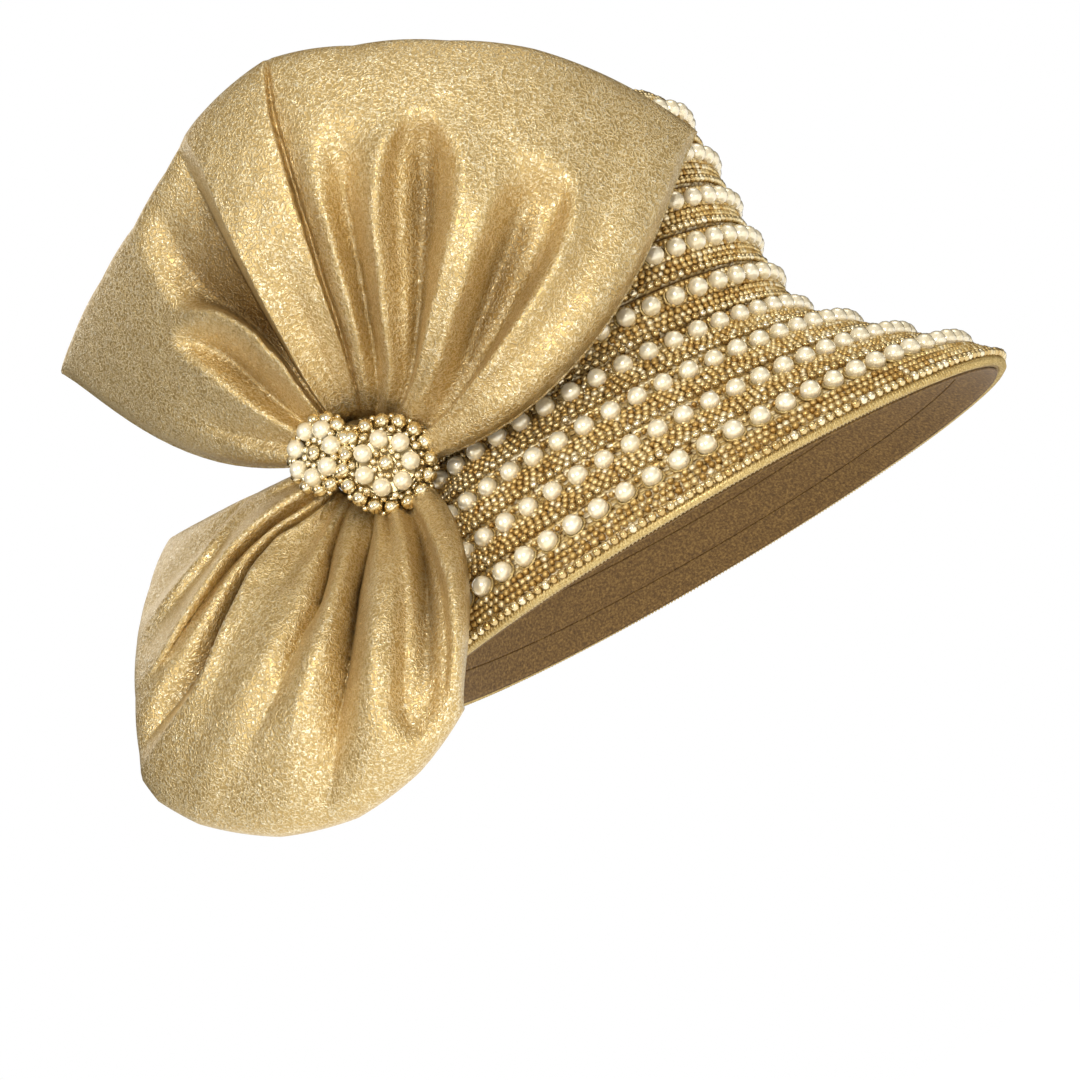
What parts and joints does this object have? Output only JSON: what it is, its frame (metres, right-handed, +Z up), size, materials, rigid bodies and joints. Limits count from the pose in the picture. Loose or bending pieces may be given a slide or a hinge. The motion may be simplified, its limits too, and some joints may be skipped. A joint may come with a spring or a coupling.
{
  "type": "church hat",
  "caption": "Church hat with a down-turned brim, crown and brim ringed with pearls and gold beads, and a gathered lame bow.",
  "frame": {"origin": "middle of the head at the level where the hat rests on it, 75 mm above the brim's edge", "axes": "+Z up through the crown, -Y the wearer's front, -X the wearer's right, where the bow sits"},
  "size_m": [0.3638, 0.2974, 0.2739],
  "materials": {
    "beaded_base_cloth": "matte cloth under beads",
    "facing_cloth": "matte brown-gold cloth",
    "binding_braid": "wound metallic cord",
    "pearl_strand": "ivory pearl",
    "gold_lame": "crinkled metallic cloth",
    "brooch_pearl": "ivory pearl",
    "antique_gold": "polished antique gold"
  },
  "bodies": {
    "root": {"hat_body": "beaded_base_cloth", "brim_facing": "facing_cloth", "edge_binding": "binding_braid", "upper_loop": "gold_lame", "lower_loop": "gold_lame", "knot_wrap": "gold_lame", "pearl_strand_01": "pearl_strand", "pearl_strand_02": "pearl_strand", "pearl_strand_03": "pearl_strand", "pearl_strand_04": "pearl_strand", "pearl_strand_05": "pearl_strand", "pearl_strand_06": "pearl_strand", "pearl_strand_07": "pearl_strand", "pearl_strand_08": "pearl_strand", "pearl_strand_09": "pearl_strand", "pearl_strand_10": "pearl_strand", "pearl_strand_11": "pearl_strand", "pearl_strand_12": "pearl_strand", "front_flower_base": "antique_gold", "front_flower_pearl_1": "brooch_pearl", "front_flower_pearl_2": "brooch_pearl", "front_flower_pearl_3": "brooch_pearl", "front_flower_pearl_4": "brooch_pearl", "front_flower_pearl_5": "brooch_pearl", "front_flower_pearl_6": "brooch_pearl", "front_flower_pearl_7": "brooch_pearl", "front_flower_centre_bead": "antique_gold", "side_flower_base": "antique_gold", "side_flower_pearl_1": "brooch_pearl", "side_flower_pearl_2": "brooch_pearl", "side_flower_pearl_3": "brooch_pearl", "side_flower_pearl_4": "brooch_pearl", "side_flower_pearl_5": "brooch_pearl", "side_flower_pearl_6": "brooch_pearl", "side_flower_pearl_7": "brooch_pearl", "side_flower_centre_bead": "antique_gold"}
  },
  "joints": []
}
